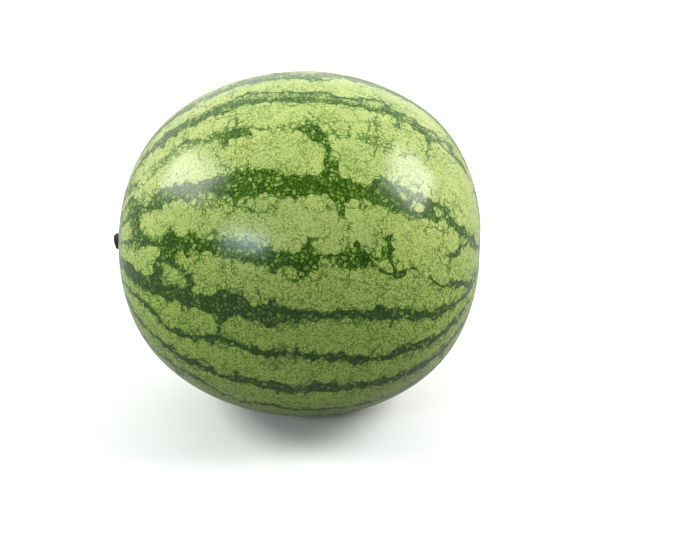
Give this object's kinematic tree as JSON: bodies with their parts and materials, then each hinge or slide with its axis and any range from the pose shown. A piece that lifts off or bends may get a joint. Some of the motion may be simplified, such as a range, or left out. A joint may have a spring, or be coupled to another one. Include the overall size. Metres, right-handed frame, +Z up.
{
  "type": "watermelon",
  "caption": "Whole watermelon, a slightly long round fruit with a smooth striped rind and a short dried stub of stalk, lying on its side on a small flat spot.",
  "frame": {"origin": "centre of the small flat spot that the melon rests on", "axes": "+X along the melon from the stem end to the blossom end, -Y towards its front, +Z up"},
  "size_m": [0.2637, 0.2476, 0.2456],
  "materials": {
    "fruit": null,
    "stem": "dry matt brown stalk"
  },
  "bodies": {
    "root": {"fruit": "fruit", "stem": "stem"}
  },
  "joints": []
}
